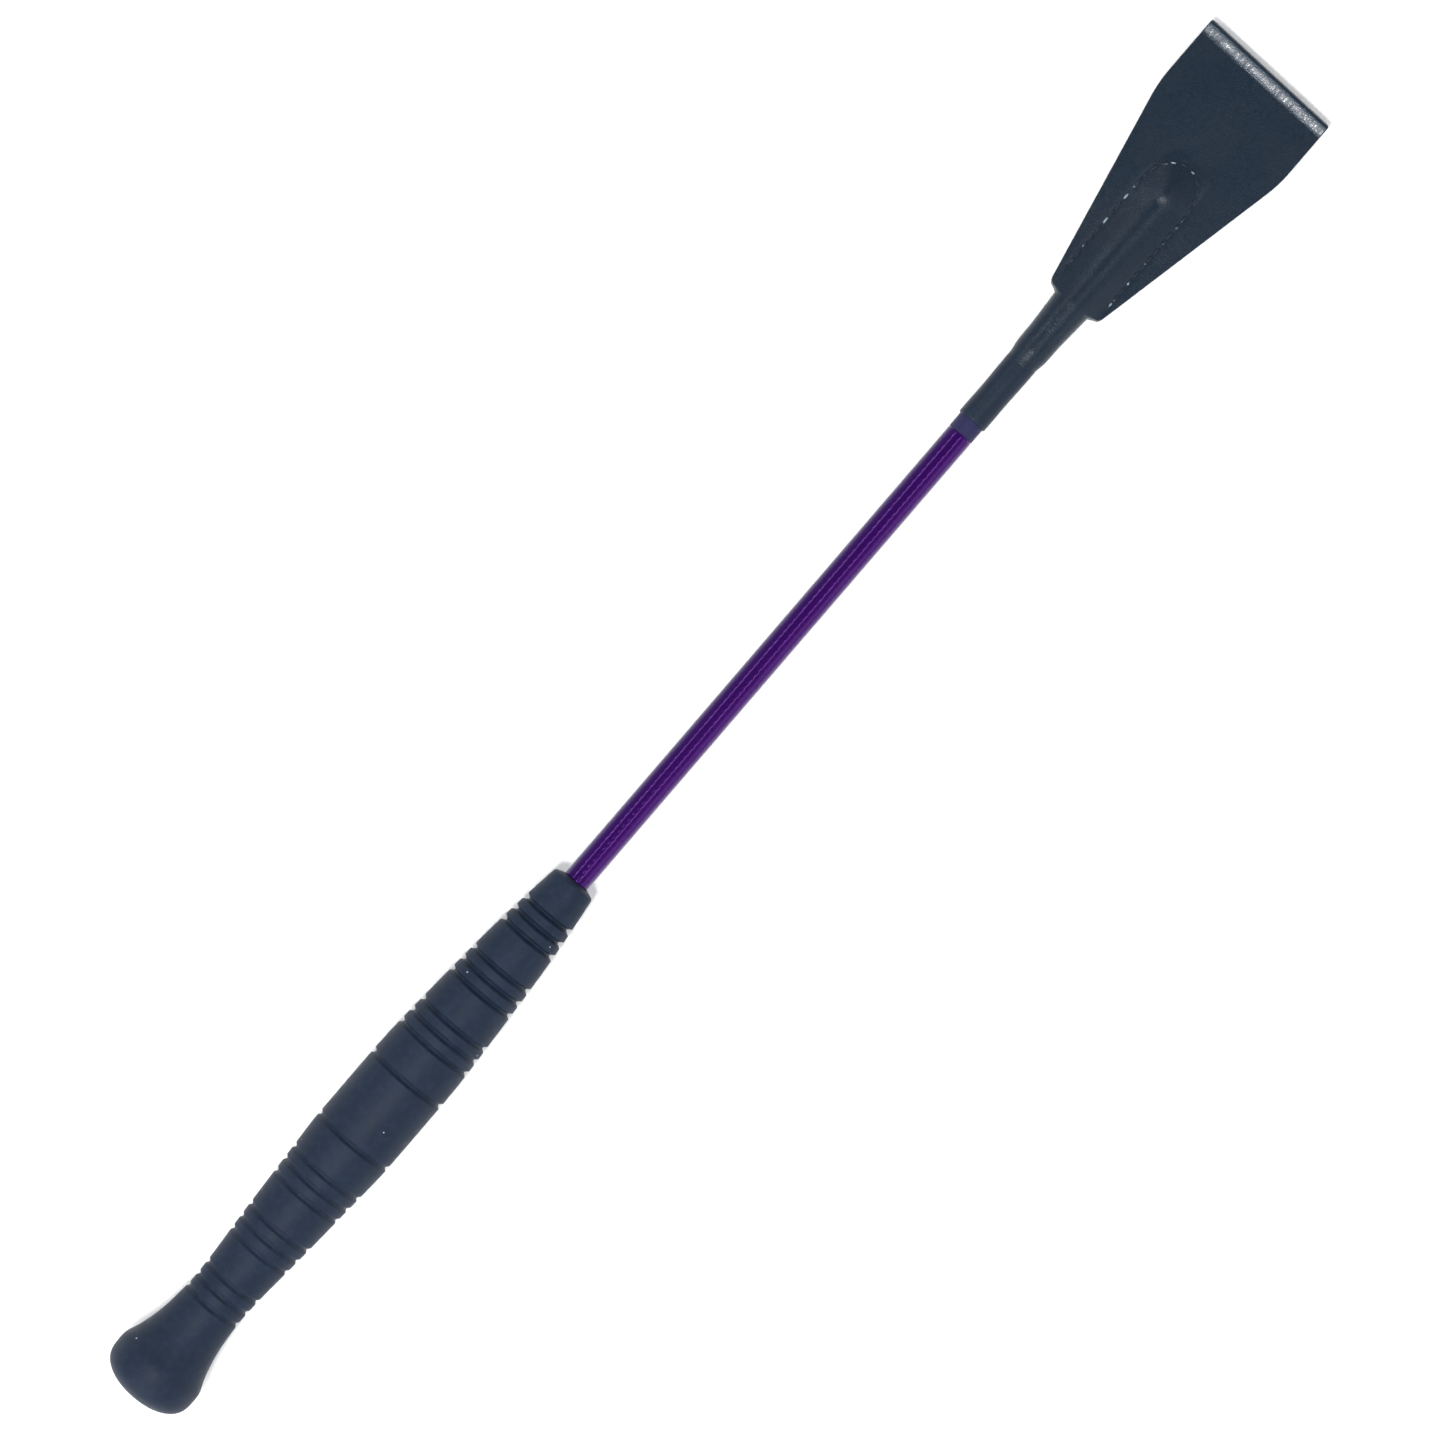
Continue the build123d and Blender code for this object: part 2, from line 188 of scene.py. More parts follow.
def smooth_line(knots, first, last, steps=24):
    """A cubic with steady curvature through the knots. With h the chord lengths and m the speeds at the
    knots, each inner knot asks m[i-1]/h[i-1] + 2 m[i] (1/h[i-1] + 1/h[i]) + m[i+1]/h[i] to equal
    3 (d[i-1]/h[i-1]^2 + d[i]/h[i]^2), where d are the chords. The end directions are given."""
    p = np.asarray(knots, float)
    d = np.diff(p, axis=0)
    h = np.hypot(*d.T)
    n = len(p)
    a, b = np.zeros((n, n)), np.zeros((n, 2))
    a[0, 0] = a[-1, -1] = 1
    b[0], b[-1] = np.array(first) / np.hypot(*first), np.array(last) / np.hypot(*last)
    k = np.arange(1, n - 1)
    a[k, k - 1], a[k, k], a[k, k + 1] = 1 / h[:-1], 2 / h[:-1] + 2 / h[1:], 1 / h[1:]
    b[k] = 3 * (d[:-1] / h[:-1, None] ** 2 + d[1:] / h[1:, None] ** 2)
    m = np.linalg.solve(a, b)
    t = np.linspace(0, 1, steps)[None, :, None]
    p0, p1, m0, m1, hh = p[:-1, None], p[1:, None], m[:-1, None], m[1:, None], h[:, None, None]
    curve = (
        (2 * t**3 - 3 * t**2 + 1) * p0 + (t**3 - 2 * t**2 + t) * hh * m0
        + (3 * t**2 - 2 * t**3) * p1 + (t**3 - t**2) * hh * m1
    )
    return np.vstack([curve[:, :-1].reshape(-1, 2), p[-1:]])


# %% [markdown]
# ## The rubber grip
# On the real crop this is one sleeve of natural rubber, compression moulded over a hard core: a
# mushroom butt that stops it slipping through the hand, a waist, a swelling belly and a taper to the
# shaft. Ring grooves give the fingers something to hold. They are shallow at the butt and deep at
# the mouth, and the mould leaves every lip slightly rounded.
#
# It could be a turned solid with boolean cuts, but a boolean leaves sharp lips that catch no light.
# Here the grooves are a term in the radius itself: the outline minus a smooth dip at each groove, so
# the lips come out rounded by the formula, and the rows of the grid are packed closer round them.

# %% The grip's outline
RIM_STATION, RIM = 9.4, 14.0            # the widest ring of the butt
WAIST_STATION, WAIST = 37.0, 9.2        # the thinnest place, behind the butt
BELLY_START, BELLY_END, BELLY = 96.35, 119.85, 12.7     # the plain band, a true cylinder
LIP_STATION, MOUTH = 192.4, 7.0         # where the mouth's edge starts to round inwards
RUBBER_WALL = 3.0
LEVEL, STEEP, NARROWING = (1, 0), (0, 1), (1, -0.14)    # directions of a line at its ends


def part_way(a, b, *shares):
    """Knots at given shares of the way from (station, radius) a to b."""
    return [(a[0] + s * (b[0] - a[0]), a[1] + r * (b[1] - a[1])) for s, r in shares]


rim, waist = (RIM_STATION, RIM), (WAIST_STATION, WAIST)
belly_start, belly_end, lip = (BELLY_START, BELLY), (BELLY_END, BELLY), (LIP_STATION, MOUTH)
dome_knots = [(0, 0), (0.18 * RIM_STATION, 0.68 * RIM), (0.55 * RIM_STATION, 0.95 * RIM), rim]
flare_shares = (0.10, 0.03), (0.18, 0.20), (0.36, 0.55), (0.55, 0.79), (0.75, 0.92)
swell_shares = (0.3, 0.29), (0.65, 0.68), (0.86, 0.90)
taper_shares = (0.3, 0.17), (0.72, 0.57)
mouth_knots = [lip, (193.36, 5.76), (GRIP_END, BRAID_RADIUS + 0.02)]

dome = smooth_line(dome_knots, STEEP, LEVEL)
flare = smooth_line([rim, *part_way(rim, waist, *flare_shares), waist], LEVEL, LEVEL)
swell = smooth_line([waist, *part_way(waist, belly_start, *swell_shares), belly_start], LEVEL, LEVEL)
taper = smooth_line([belly_end, *part_way(belly_end, lip, *taper_shares), lip], LEVEL, NARROWING)
mouth_end = smooth_line(mouth_knots, NARROWING, (0.3, -1), 10)
outline = np.vstack([flare, swell, taper])

# %% The ring grooves
GROOVE_PITCH, GROUP_PITCH = 4.35, 20.6
SINGLE_GROOVE, FIRST_GROUP = 11.75, 28.0      # from the middle of the plain band
GROUPS = 3                                    # on each side of the band
SHALLOW, DEEP = 0.62, 1.4                     # depth of the first and the last groove
FLAT_HALF = 0.10                              # half the width of a groove's flat bottom
groups = FIRST_GROUP + GROUP_PITCH * np.arange(GROUPS)[:, None] + GROOVE_PITCH * np.array([-1, 0, 1])
offsets = np.concatenate([[SINGLE_GROOVE], groups.ravel()])
grooves = np.sort(np.concatenate([BAND_MIDDLE - offsets, BAND_MIDDLE + offsets]))
towards_mouth = ((grooves - grooves[0]) / (grooves[-1] - grooves[0])) ** 2
groove_depth = SHALLOW + (DEEP - SHALLOW) * towards_mouth
groove_half = 0.62 + 0.02 * towards_mouth     # where a groove's wall meets its lip
lip_round = 0.48 + 0.06 * towards_mouth       # how wide the rounded lip is


def groove_cut(station):
    """Depth of the grooves at each station: the deepest, over all grooves, of its depth times
    (1 - ease(way)) ^ 0.8, where way runs from 0 at the edge of the flat bottom to 1 at the lip's end. The
    power keeps the walls steep and the lips round."""
    off = np.abs(station[:, None] - grooves)
    way_out = (off - FLAT_HALF) / (groove_half + lip_round - FLAT_HALF)
    return (groove_depth * (1 - ease(way_out)) ** 0.8).max(1)


LEAST_STEP = 0.07       # rows nearer than this to the one before are left out
flare_rows = np.linspace(RIM_STATION, WAIST_STATION, 34)
plain_rows = np.linspace(WAIST_STATION, LIP_STATION, 150)
close_rows = (grooves[:, None] + np.linspace(-1.4, 1.4, 17)).ravel()
stations = np.unique(np.round(np.concatenate([flare_rows, plain_rows, close_rows]), 3))
stations = stations[np.concatenate([[True], np.diff(stations) > LEAST_STEP])]
stations = stations[(stations > RIM_STATION) & (stations < LIP_STATION)]
radii = np.interp(stations, outline[:, 0], outline[:, 1]) - groove_cut(stations)
outside = np.vstack([dome[1::2], np.stack([stations, radii], -1), mouth_end])

# %% The grip's inside: a bore for the braid, then room for the handle's core
BORE = BRAID_RADIUS + 0.01
bore = np.array([[GRIP_END - 0.5, BORE], [CORE_END + 0.3, BORE]])
core_stations = np.linspace(CORE_END, RIM_STATION, 60)
core_room = np.interp(core_stations, outline[:, 0], outline[:, 1]) - RUBBER_WALL
core_line = np.stack([core_stations, core_room], -1)
core_bottom = np.array([[6.5, 10.6], [5.0, 9.2], [ROD_START, 8.2], [ROD_START, 0.4]])
grip_line = np.vstack([outside, bore, core_line, core_bottom])
GRIP_COLUMNS = 150
grip_rubber = skin("grip_rubber", turn(grip_line, GRIP_COLUMNS))
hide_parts("grip")
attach(grip_rubber, "handle")
print(len(grooves), "grooves from", grooves[0], "to", grooves[-1], "mm;", len(grip_line), "rows in the grip")

# %% [markdown]
# ## The rod and the braid
# The shaft is a glass-fibre rod, pulled through a die and ground to a taper. Coloured thread is
# braided over it on a machine: half of the bobbins run one way round and half the other, each thread
# passing over and under the ones it meets. Clear lacquer then fills most of the hollows, so the braid
# shows as fine bumps under a gloss.
#
# The threads could be modelled one by one, but two dozen helices that weave over and under each other
# are heavy and would be drowned in lacquer anyway. The braid here is a relief on one tube: at every point
# the formula asks which of the two sets of threads is on top, and how round that thread is there. It is
# one mesh over the whole length.

# %% The braid's relief
BOBBINS = 12            # threads running each way round
BRAID_LEAD = 26.0       # mm along the shaft for one turn of a thread
THREAD_RISE = 0.08      # height of the bumps left by the lacquer
PRESSED = 0.3           # the braid is this much thinner where rubber, thread or leather covers it
BRAID_ROWS, BRAID_COLUMNS = 640, 144


def thread_round(phase, hollow):
    """Height across a thread, 1 along its middle: sqrt(1 - hollow * x^2), with x from -1 to 1 across it."""
    return np.sqrt(1 - hollow * np.abs(2 * (phase % 1) - 1) ** 2)


def braid_relief(station, angle):
    """Two sets of threads turn opposite ways. Each set's phase is bobbins * (angle / turn +- station /
    lead). The sets take turns on top: one is over the other where the cosines of pi times the phases' sum
    and of pi times their difference have the same sign."""
    turns = angle / (2 * np.pi)
    one = BOBBINS * (turns + station / BRAID_LEAD)
    other = BOBBINS * (turns - station / BRAID_LEAD)
    over = np.cos(np.pi * (one + other)) * np.cos(np.pi * (one - other))
    share = ease(0.5 + 1.2 * over)
    return share * thread_round(one, 0.85) + (1 - share) * thread_round(other, 0.85)


braid_stations = np.linspace(BRAID_START, BRAID_END, BRAID_ROWS)
ring_angle = np.linspace(0, 2 * np.pi, BRAID_COLUMNS, endpoint=False)
height = braid_relief(braid_stations[:, None], ring_angle[None, :])
covered = (braid_stations < GRIP_END) | (braid_stations > BOUND_START)
braid_line = np.stack([braid_stations, BRAID_RADIUS - PRESSED * covered], -1)
outer_rings = turn(braid_line, BRAID_COLUMNS, THREAD_RISE * (height - 1))
print("braid bumps stand", round(THREAD_RISE * float(height.max() - height.min()), 3), "mm over the hollows")

# %% The rod and the braid's inside
ROD_BUTT, ROD_TIP = 3.3, 2.6
ROD_ROWS, ROD_COLUMNS = 220, 40


def rod_line(station):
    """The rod tapers evenly from its butt end to its tip."""
    way = (station - ROD_START) / (ROD_END - ROD_START)
    return np.stack([station, ROD_BUTT + (ROD_TIP - ROD_BUTT) * way], -1)


inner_stations = np.linspace(BRAID_END, BRAID_START, 80)
braid_rings = np.concatenate([outer_rings, turn(rod_line(inner_stations), BRAID_COLUMNS)])
row_mm = np.concatenate([braid_stations, inner_stations])
shaft_braid = skin("shaft_braid", braid_rings, "joined", (row_mm, ring_angle / (2 * np.pi)))

rod_stations = np.linspace(ROD_START, ROD_END, ROD_ROWS)
rod_share = np.linspace(0, 1, ROD_COLUMNS, endpoint=False)
rod_rings = turn(rod_line(rod_stations), ROD_COLUMNS)
glass_rod = skin("glass_fibre_rod", rod_rings, "fan", (rod_stations, rod_share))

for piece, nodes, slot in (
    (shaft_braid, ("braid_lower", "braid_upper"), "braid"),
    (glass_rod, ("rod_lower", "rod_upper"), "fibreglass"),
):
    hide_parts(*nodes)
    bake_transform(piece)

# %% [markdown]
# ## The whipping at the shaft's end
# Where the braid stops, its ends are bound down with a dark waxed thread, wound on side by side. Only
# the first few turns show before the leather covers them. A wound thread is a helix, and side by side
# its turns make a screw-like relief, which is what the formula draws.

# %% Tip whipping
WOUND_THREAD = 0.55     # the thread's thickness, so also the screw's pitch
WHIPPING_END = BOUND_START + 9.4
WHIPPING_RADIUS = BRAID_RADIUS + 0.03
WOUND_DEPTH = 0.18      # of the hollow between two turns
WHIPPING_ROWS, WHIPPING_COLUMNS, INNER_ROWS = 170, 72, 6
wound_stations = np.linspace(BOUND_START, WHIPPING_END, WHIPPING_ROWS)
wound_angle = np.linspace(0, 2 * np.pi, WHIPPING_COLUMNS, endpoint=False)
wound_phase = wound_stations[:, None] / WOUND_THREAD - wound_angle[None, :] / (2 * np.pi)
wound_relief = WOUND_DEPTH * (thread_round(wound_phase, 0.9) - 1)
from_edge = np.minimum(wound_stations - BOUND_START, WHIPPING_END - wound_stations)
wound_line = np.stack([wound_stations, WHIPPING_RADIUS - 0.25 * (1 - ease(from_edge / 0.35))], -1)
wound_inner = np.linspace(WHIPPING_END, BOUND_START, INNER_ROWS)
wound_inner_line = np.stack([wound_inner, np.full(INNER_ROWS, BRAID_RADIUS - 0.5)], -1)
wound_rings = np.concatenate([
    turn(wound_line, WHIPPING_COLUMNS, wound_relief), turn(wound_inner_line, WHIPPING_COLUMNS)])
wound_mm = np.concatenate([wound_stations, wound_inner])
tip_whipping = skin("tip_whipping_thread", wound_rings, "joined", (wound_mm, wound_angle / (2 * np.pi)))
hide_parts("tip_whipping")
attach(tip_whipping, "shaft_tip")

# %% [markdown]
# ## The neck leather
# A thin, skived piece of leather is glued round the shaft's end to make a neck that the flapper can be
# bonded to. Its two long edges meet in a butt joint on the underside, and thin leather pulled round a
# rod never lies quite true, so the wrap has a few faint waves. Its edge is a soft roll.

# %% Neck leather, a C-shaped wall carried round the shaft
JOINT_HALF_ANGLE = 0.02
EDGE_ROLL, EDGE_DROP = 0.5, 0.42        # length and height of the rounded edge
WAVE = 0.05                             # height of each of the two sets of faint waves
TUCK, TUCK_ANGLE = 0.22, 0.10           # the leather dips in beside its joint
wrap_angle = np.linspace(-np.pi / 2 + JOINT_HALF_ANGLE, 1.5 * np.pi - JOINT_HALF_ANGLE, 110)
edge_rows = NECK_START + 0.45 * (1 - np.cos(np.linspace(0, np.pi / 2, 7)))
wrap_stations = np.concatenate([edge_rows, np.linspace(NECK_START + 0.7, BRAID_END, 90)])
to_roll = 1 - np.clip((wrap_stations - NECK_START) / EDGE_ROLL, 0, 1)
rolled = NECK_RADIUS - EDGE_DROP * (1 - np.sqrt(1 - to_roll**2))
wave = WAVE * np.sin(wrap_stations[None, :] / 2.9 + 2.0 * np.sin(wrap_angle[:, None]))
wave = wave + WAVE * np.sin(wrap_stations[None, :] / 6.1 - 1.7 * wrap_angle[:, None])
wave = wave * ease((wrap_stations - NECK_START) / 2)
tuck = TUCK * np.exp(-((np.pi - np.abs(wrap_angle - np.pi / 2)) / TUCK_ANGLE) ** 2)[:, None]
outer_wall = rolled[None, :] + wave - WAVE - tuck
inner_wall = np.full((len(wrap_angle), len(wrap_stations)), BRAID_RADIUS)
wall_radius = np.concatenate([outer_wall, inner_wall[:, ::-1]], 1)
wall_station = np.concatenate([wrap_stations, wrap_stations[::-1]])[None, :] * np.ones((len(wrap_angle), 1))
turn_y, turn_up = np.cos(wrap_angle)[:, None], np.sin(wrap_angle)[:, None]
neck_rings = np.stack([wall_station, wall_radius * turn_y, wall_radius * turn_up], -1)
neck_leather = skin("neck_leather", neck_rings, "zip")
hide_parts("neck_wrap")
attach(neck_leather, "shaft_tip")

# %% [markdown]
# ## The flapper
# One strip of bridle leather, folded in half. The fold makes the tip and is fatter than the two leaves,
# because leather resists a sharp turn. The leaves run back along both sides of the rod, which
# pushes them up into a ridge, and their narrow ends wrap the neck as a collar. Past the stitching the
# leaves only lie together, with a thin dark slit between them along the cut edges.
#
# Cloth simulation is meant for limp stuff, and this leather is stiff and glued, so the shape is worked
# out directly. Each ring of the grid is a closed section across the crop: over the top leaf, round its
# cut edge into the slit, out again round the lower leaf's edge and back underneath. Section by section
# the ring changes from the collar's circle to the flapper's flat plate with its ridge.

# %% The flapper's faces
LEAF = 2.2              # thickness of one leaf
ROOT_HALF, TIP_HALF = 8.9, 22.7
ROOT_CORNER, TIP_CORNER = 3.0, 1.2
SHOULDER = ROOT + 64.7  # where the flapper stops widening
SHOULDER_BLEND = 4.0
FOLD_HALF = 3.05        # half the fold's thickness at its highest line
FOLD_START, FOLD_CREST = 494.9, 498.5   # where the fold starts to swell, and its highest line
COLLAR, ROOT_RADIUS = 5.25, 6.1         # the collar's radius at its free end and at the root
RIDGE_HALF = 8.3        # from the rod's line to the foot of the ridge, at the stitches
RIDGE_AT_CAP = 4.75     # the ridge's height over the middle plane where the rod's cap starts
CREST_ROUND = 0.50      # how rounded the ridge's crest is
CAP_FROM, CAP_TO, CAP_SWELL = 449.0, 454.5, 0.55
RIDGE_FALL, RIDGE_END = CAP_TO - 2.5, 466.0     # the ridge dies away between these stations
SEAM_FIRST, SEAM_TURN, SEAM_HALF, SEAM_ARCH = ROOT + 5.2, 451.9, 8.4, 11.0
DENT, DENT_WIDTH = 0.16, 0.8            # the stitches pull the leather in
WAVINESS = 0.10
TIP_SKEW = 1.6          # the fold is not quite square to the rod: one corner is this much shorter


def half_width(station):
    """Half the flapper's width: straight lines from root to shoulder and on to the tip, joined by a
    parabola at the shoulder, and quarter circles at the root's and the tip's corners."""
    slope = (TIP_HALF - ROOT_HALF) / (SHOULDER - ROOT)
    x = station - SHOULDER
    flared = TIP_HALF + slope * x
    soft = TIP_HALF - slope * (SHOULDER_BLEND - x) ** 2 / (4 * SHOULDER_BLEND)
    width = np.where(x < -SHOULDER_BLEND, flared, np.where(x > SHOULDER_BLEND, TIP_HALF, soft))
    root = np.clip(ROOT_CORNER - (station - ROOT), 0, ROOT_CORNER)
    tip = np.clip(TIP_CORNER - (TIP - station), 0, TIP_CORNER)
    width = width - (ROOT_CORNER - np.sqrt(ROOT_CORNER**2 - root**2))
    return width - (TIP_CORNER - np.sqrt(TIP_CORNER**2 - tip**2))


def seam_distance(station, y):
    """Distance from the U-shaped line of stitches: to the nearer leg before the turn, and near enough
    to the half ellipse past it, by scaling the ellipse's own level."""
    leg = np.abs(np.abs(y) - SEAM_HALF)
    level = np.hypot((station - SEAM_TURN) / SEAM_ARCH, y / SEAM_HALF)
    arch = np.abs(level - 1) * SEAM_HALF
    return np.where(station < SEAM_TURN, leg, arch)


def leaf_face(station, y):
    """Height of the upper leaf's face over the middle plane: its thickness, plus the ridge, a tent
    with a rounded crest whose height falls from the root to the cap, swells over the cap and dies away
    past it, less a shallow dent along the stitches and a tenth of a millimetre of slow waviness. The
    tent's side is a hyperbola, so its crest is round and its flanks nearly straight."""
    rod_rise = np.interp(station, [ROOT, CAP_FROM], [ROOT_RADIUS, RIDGE_AT_CAP]) - LEAF
    rod_rise = rod_rise + CAP_SWELL * ease((station - CAP_FROM) / 3.0)
    rod_rise = rod_rise * (1 - ease((station - RIDGE_FALL) / (RIDGE_END - RIDGE_FALL)))
    share = np.clip(np.abs(y) / RIDGE_HALF, 0, 1)
    fall = (np.hypot(share, CREST_ROUND) - CREST_ROUND) / (np.hypot(1, CREST_ROUND) - CREST_ROUND)
    ridge = rod_rise * (1 - fall) ** 1.15
    dent = DENT * np.exp(-((seam_distance(station, y) / DENT_WIDTH) ** 2))
    dent = dent * ease((station - SEAM_FIRST + 2) / 2)
    slow = WAVINESS * np.sin(station / 9.0 + y / 7.0) * np.sin(y / 8.5 - station / 23.0)
    slow = slow * ease((station - ROOT - 6) / 10) * ease((TIP - 5 - station) / 8)
    return LEAF + ridge - dent + slow


# %% The flapper's rows and the rise of its fold
FACE_POINTS = 132       # across one face
FOLD_EASE = 0.035       # the rise to the fold is steepest halfway, where it catches the light
edge_out = np.array([0.34, 0.12, 0.0, 0.0, 0.03, 0.22, 0.9, 2.2])       # how far in from the cut edge
edge_up = np.array([1.0, 0.955, 0.86, 0.40, 0.20, 0.075, 0.045, 0.04])  # as a share of the leaf's height
face_share = np.sin(np.linspace(-1, 1, FACE_POINTS) * np.pi / 2)
fold_turn = np.linspace(0, np.pi / 2, 15)[1:]
fold_rows = FOLD_CREST + (TIP - FOLD_CREST) * np.sin(fold_turn)
plate_rows = np.unique(np.round(np.concatenate([
    ROOT + 0.02 + 3.2 * np.linspace(0, 1, 22) ** 1.6,
    np.arange(ROOT + 3.4, 470.0, 0.52),
    np.arange(470.0, 493.0, 0.8),
    np.linspace(493.0, FOLD_CREST, 22),
]), 3))
rows = np.concatenate([plate_rows, fold_rows])
fold_way = np.clip((plate_rows - FOLD_START) / (FOLD_CREST - FOLD_START), 0, 1)
fold_height = np.concatenate([
    LEAF + (FOLD_HALF - LEAF) * (fold_way - FOLD_EASE * np.sin(2 * np.pi * fold_way)),
    FOLD_HALF * np.cos(fold_turn),
])
fold_height = np.maximum(fold_height, 0.05)

# %% The flapper's rings


def section(station, plate, collar_radius, flatness):
    """Closed sections. flatness 0 is a circle of the collar's radius, 1 the plate; between them the
    points are mixed: flatness * plate point + (1 - flatness) * circle point. plate is the face height
    where there is no ridge. The circle dips at both sides, where the collar's two tabs meet."""
    station, plate, mix = station[:, None], plate[:, None], flatness[:, None]
    collar_radius = collar_radius[:, None]
    width = half_width(station)
    y = (width - edge_out[0] * mix) * face_share
    face = leaf_face(station, y) + plate - LEAF
    face = np.where(station > FOLD_CREST, np.minimum(face, plate), face)
    up_edge = face[:, -1:] * edge_up[1:]
    across_edge = width - edge_out[1:] * np.minimum(1, plate / LEAF)
    upper_y = np.concatenate([-across_edge[:, ::-1], y, across_edge], 1)
    upper_h = np.concatenate([up_edge[:, ::-1], face, up_edge], 1)
    around = np.pi * np.linspace(0.004, 0.996, upper_y.shape[1])
    meeting = 0.3 * np.exp(-((np.sin(around) / 0.07) ** 2))
    round_y = -(collar_radius - meeting) * np.cos(around)
    round_h = (collar_radius - meeting) * np.sin(around)
    yy = mix * upper_y + (1 - mix) * round_y
    hh = mix * upper_h + (1 - mix) * round_h
    loop_y = np.concatenate([yy, yy[:, ::-1]], 1)
    loop_h = np.concatenate([hh, -hh[:, ::-1]], 1)
    return np.stack([station * np.ones_like(loop_y), loop_y, loop_h], -1)


SKIVE_START, SKIVE = COLLAR_START - 2.4, 6.0    # the collar's edge is skived thin over this length
COLLAR_SUNK = 0.12                              # the skived edge ends this far under the neck's surface
COLLAR_EVEN, COLLAR_GAIN = 9.0, 0.12            # the collar's first stretch, and how little it widens there
ROOT_FLAT, FLATTENING = 0.35, 1.4               # how flat the root already is, and how soon it is all flat
collar_rows = np.linspace(SKIVE_START, ROOT - 0.05, 56)
collar_knots = [COLLAR_START, COLLAR_START + COLLAR_EVEN, ROOT]
collar_radius = np.interp(collar_rows, collar_knots, [COLLAR, COLLAR + COLLAR_GAIN, ROOT_RADIUS])
skived = 1 - ease((collar_rows - SKIVE_START) / SKIVE)
collar_radius = collar_radius - (COLLAR - NECK_RADIUS + COLLAR_SUNK) * skived
plate_flat = ROOT_FLAT + (1 - ROOT_FLAT) * ease((rows - ROOT) / FLATTENING)
all_rows = np.concatenate([collar_rows, rows])
sections = section(
    all_rows,
    np.concatenate([np.full_like(collar_rows, LEAF), fold_height]),
    np.concatenate([collar_radius, np.full_like(rows, ROOT_RADIUS)]),
    np.concatenate([np.zeros_like(collar_rows), plate_flat]),
)
print("flapper", len(all_rows), "rows of", sections.shape[1], "points")
print("half width at root and tip", half_width(np.array([ROOT + ROOT_CORNER, TIP - 10])))

# %% The skewed tip
SKEW_START = 476.0


def skew(points):
    """Pulls the tip's edge back across its width: up to TIP_SKEW at one corner, none at the other,
    growing smoothly from SKEW_START to the tip."""
    s, y = points[..., 0], points[..., 1]
    shift = TIP_SKEW * (TIP_HALF - y) / (2 * TIP_HALF) * ease((s - SKEW_START) / (TIP - SKEW_START))
    return np.stack([s - shift, y, points[..., 2]], -1)


ring_share = np.arange(sections.shape[1]) / sections.shape[1]
flapper = skin("flapper_leather", skew(sections), "zip", (all_rows, ring_share))
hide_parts("flapper_leaf_front", "flapper_leaf_back", "flapper_tongue")
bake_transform(flapper)

# %% [markdown]
# ## The stitches
# A U of waxed thread round the rod's end holds the two leaves together and keeps the rod from
# pushing through. Each stitch is a short length of thread that comes up out of one needle hole, lies on
# the leather and goes down into the next. One stitch is a small bent tube; the seam is the same formula
# worked out for every pair of neighbouring holes at once, on the front and again on the back.

# %% Needle holes and stitches
STITCH_PITCH = 3.0
THREAD_RADIUS = 0.33
STITCH_GAP = 0.06       # share of a stitch's length left free at each end, beside its needle hole
HOLE_DEPTH, STITCH_RISE = 0.50, 0.64    # a stitch starts this deep and rises by this much
STITCH_ROWS, STITCH_SIDES = 9, 8


def seam_holes():
    """Needle holes evenly spaced along the U: down one leg, round a half ellipse, back up the other leg."""
    angle = np.linspace(0, np.pi, 241)
    line = np.vstack([
        [(SEAM_FIRST, SEAM_HALF)],
        np.stack([SEAM_TURN + SEAM_ARCH * np.sin(angle), SEAM_HALF * np.cos(angle)], -1),
        [(SEAM_FIRST, -SEAM_HALF)],
    ])
    length = np.concatenate([[0], np.cumsum(np.hypot(*np.diff(line, axis=0).T))])
    at = np.linspace(0, length[-1], math.ceil(length[-1] / STITCH_PITCH) + 1)
    return np.stack([np.interp(at, length, line[:, 0]), np.interp(at, length, line[:, 1])], -1), length[-1]


holes, seam_length = seam_holes()
stitches = len(holes) - 1
step = np.diff(holes, axis=0)
way = step / np.hypot(*step.T)[:, None]
t = np.linspace(0, 1, STITCH_ROWS)
line = holes[:-1, None] + (STITCH_GAP + (1 - 2 * STITCH_GAP) * t)[None, :, None] * step[:, None]
bow = STITCH_RISE * np.sin(np.pi * t) ** 0.45 - HOLE_DEPTH
thick = THREAD_RADIUS * (0.75 + 0.25 * np.sin(np.pi * t))[:, None]
around = np.linspace(0, 2 * np.pi, STITCH_SIDES, endpoint=False)
off, lift = thick * np.cos(around), thick * np.sin(around) * 0.85
s = line[..., 0, None] - off * way[:, None, None, 1]
y = line[..., 1, None] + off * way[:, None, None, 0]
h = (leaf_face(line[..., 0], line[..., 1]) + bow)[..., None] + lift
stitch_points = np.concatenate([np.stack([s, y, h], -1), np.stack([s, y, -h], -1)])

# %% The stitches' faces: one stitch's list, shifted for each stitch and turned over on the back
per = STITCH_ROWS * STITCH_SIDES
k, j = np.meshgrid(np.arange(STITCH_ROWS - 1), np.arange(STITCH_SIDES), indexing="ij")
here, ahead, j2 = k * STITCH_SIDES, (k + 1) * STITCH_SIDES, (j + 1) % STITCH_SIDES
quads = np.stack([here + j, here + j2, ahead + j2, ahead + j], -1).reshape(-1, 4)
start_cap = np.arange(STITCH_SIDES)[::-1]
end_cap = (STITCH_ROWS - 1) * STITCH_SIDES + np.arange(STITCH_SIDES)
front = [*quads.tolist(), start_cap.tolist(), end_cap.tolist()]
turned = [face[::-1] for face in front]
lists = [front] * stitches + [turned] * stitches
seam_faces = [[v + n * per for v in face] for n, faces in enumerate(lists) for face in faces]
